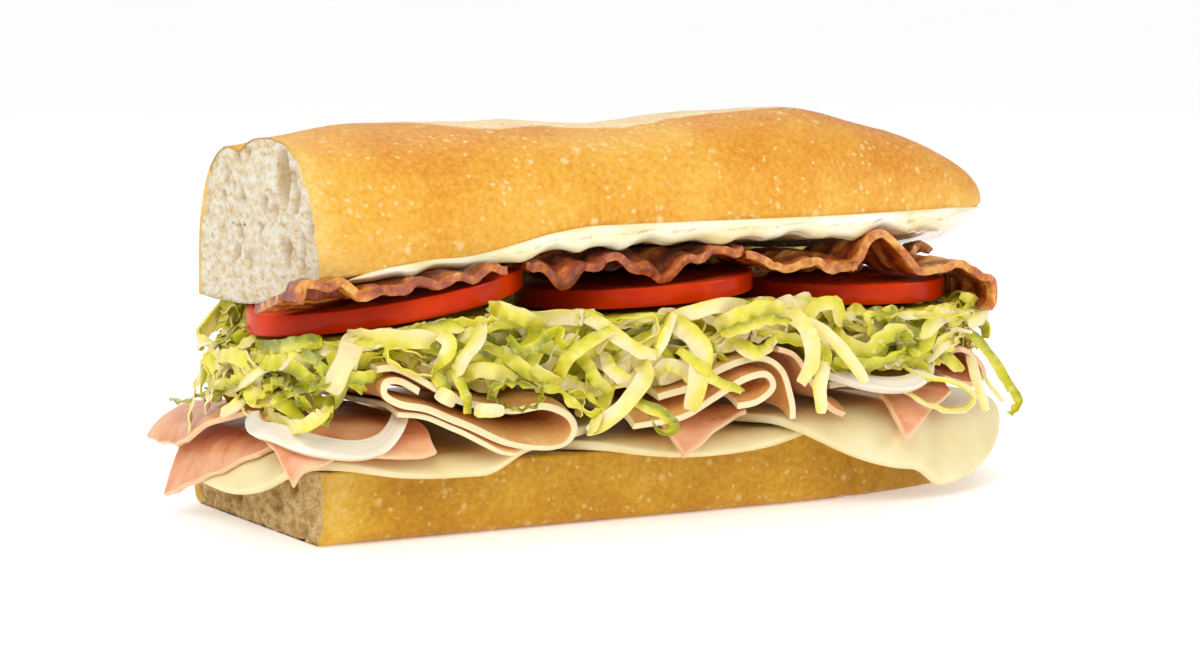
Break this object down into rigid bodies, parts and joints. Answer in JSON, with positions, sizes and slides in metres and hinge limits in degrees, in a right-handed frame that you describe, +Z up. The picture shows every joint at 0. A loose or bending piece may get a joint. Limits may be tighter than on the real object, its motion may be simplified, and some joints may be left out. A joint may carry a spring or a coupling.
{
  "type": "submarine sandwich",
  "caption": "Submarine sandwich: crusty split bread with cheese, folded ham and turkey, onion, shredded lettuce, tomato, bacon and mayonnaise; one end cut, one end a rounded heel.",
  "frame": {"origin": "centre of the overall box, on the surface that the bottom bread stands on", "axes": "+X along the bread from the cut end to the rounded heel, -Y out of the open front, +Z up"},
  "size_m": [0.2146, 0.1002, 0.0946],
  "materials": {
    "crust": "baked golden bread crust with pale open crumb on the cut faces",
    "cheese": "smooth pale sliced cheese, slightly waxy",
    "ham": "moist pink sliced ham",
    "turkey": "sliced roast turkey breast, cream edge",
    "onion": "wet translucent white onion",
    "lettuce": "shredded lettuce from cream ribs to yellow-green leaf",
    "tomato": "wet glossy tomato skin and flesh",
    "bacon": "fried bacon, brown lean with amber fat, greasy",
    "mayonnaise": "thick cream-coloured mayonnaise"
  },
  "bodies": {
    "root": {"bottom_bread": "crust", "top_bread": "crust", "cheese_left": "cheese", "cheese_middle": "cheese", "cheese_right": "cheese", "ham_end": "ham", "ham_left": "ham", "ham_middle": "ham", "ham_right": "ham", "ham_fold": "ham", "ham_roll": "ham", "turkey_left": "turkey", "turkey_middle": "turkey", "turkey_over": "turkey", "turkey_right": "turkey", "onion_left": "onion", "onion_right": "onion", "lettuce": "lettuce", "tomato_left": "tomato", "tomato_middle": "tomato", "tomato_right": "tomato", "bacon_left": "bacon", "bacon_middle": "bacon", "bacon_right": "bacon", "bacon_end": "bacon", "bacon_inner": "bacon", "mayonnaise": "mayonnaise"}
  },
  "joints": []
}
